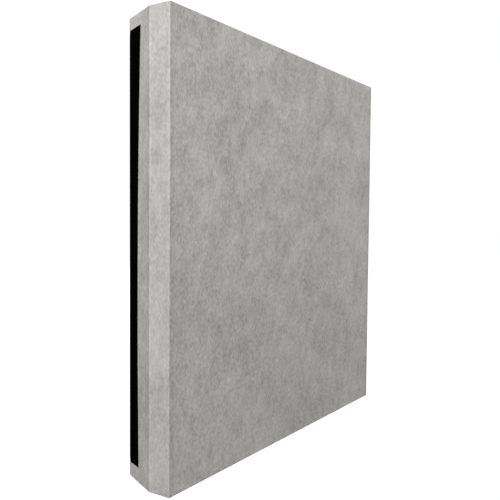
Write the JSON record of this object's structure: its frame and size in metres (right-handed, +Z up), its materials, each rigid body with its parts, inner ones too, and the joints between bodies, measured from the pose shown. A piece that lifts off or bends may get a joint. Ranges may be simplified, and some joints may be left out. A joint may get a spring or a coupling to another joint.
{
  "type": "bass trap",
  "caption": "Tall flat acoustic panel wrapped in grey cloth, with bevelled long front edges, black vent slots in its sides and ring hangers on its back.",
  "frame": {"origin": "middle of the bottom face, half way through the panel's depth without the wall pads", "axes": "+Z up along the height, +X across the width to the right of someone who looks at the front, +Y from the front face to the back"},
  "size_m": [0.9144, 0.1728, 1.2192],
  "materials": {
    "grey_cloth": "matt brushed microsuede with a soft mottled nap",
    "black_cloth": "matt, finely woven",
    "core_scrim": "thin non-woven",
    "timber": "planed softwood, unfinished",
    "plywood": "sanded plywood, unfinished",
    "mineral_wool": "pressed fibre",
    "wadding": "lofted white polyester",
    "screw_steel": "yellow zinc plated",
    "hanger_steel": "bright zinc plated",
    "rubber": "black, moulded"
  },
  "bodies": {
    "panel": {"back_cloth": "black_cloth", "bottom_board": "timber", "top_board": "timber", "cloth_fold_bottom": "grey_cloth", "cloth_fold_top": "grey_cloth", "core_scrim": "core_scrim", "core_slab_front_narrow": "mineral_wool", "core_slab_front_wide": "mineral_wool", "core_slab_rear_narrow": "mineral_wool", "core_slab_rear_wide": "mineral_wool", "corner_brace_bottom_left": "plywood", "corner_brace_bottom_right": "plywood", "corner_brace_top_left": "plywood", "corner_brace_top_right": "plywood", "corner_screw_bottom_left_1": "screw_steel", "corner_screw_bottom_left_2": "screw_steel", "corner_screw_bottom_left_3": "screw_steel", "corner_screw_bottom_right_1": "screw_steel", "corner_screw_bottom_right_2": "screw_steel", "corner_screw_bottom_right_3": "screw_steel", "corner_screw_top_left_1": "screw_steel", "corner_screw_top_left_2": "screw_steel", "corner_screw_top_left_3": "screw_steel", "corner_screw_top_right_1": "screw_steel", "corner_screw_top_right_2": "screw_steel", "corner_screw_top_right_3": "screw_steel", "cross_rail_lower": "timber", "cross_rail_middle": "timber", "cross_rail_upper": "timber", "face_cloth": "grey_cloth", "front_wadding": "wadding", "hanger_screw_lower_left": "screw_steel", "hanger_screw_lower_right": "screw_steel", "hanger_screw_upper_left": "screw_steel", "hanger_screw_upper_right": "screw_steel", "hanger_strap_left": "hanger_steel", "hanger_strap_right": "hanger_steel", "rail_screw_lower_left": "screw_steel", "rail_screw_lower_right": "screw_steel", "rail_screw_middle_left": "screw_steel", "rail_screw_middle_right": "screw_steel", "rail_screw_upper_left": "screw_steel", "rail_screw_upper_right": "screw_steel", "side_board_left": "timber", "side_board_right": "timber", "slot_cloth_left": "black_cloth", "slot_cloth_right": "black_cloth", "wall_pad_bottom_left": "rubber", "wall_pad_bottom_right": "rubber", "wall_pad_top_left": "rubber", "wall_pad_top_right": "rubber"},
    "ring_left": {"hanger_ring_left": "hanger_steel"},
    "ring_right": {"hanger_ring_right": "hanger_steel"}
  },
  "joints": [
    {"name": "ring_left_swing", "type": "hinge", "parent": "panel", "child": "ring_left", "pos_m": [-0.3, 0.085, 0.9892], "axis": [1, 0, 0], "range_deg": [0, 180]},
    {"name": "ring_right_swing", "type": "hinge", "parent": "panel", "child": "ring_right", "pos_m": [0.3, 0.085, 0.9892], "axis": [1, 0, 0], "range_deg": [0, 180]}
  ]
}
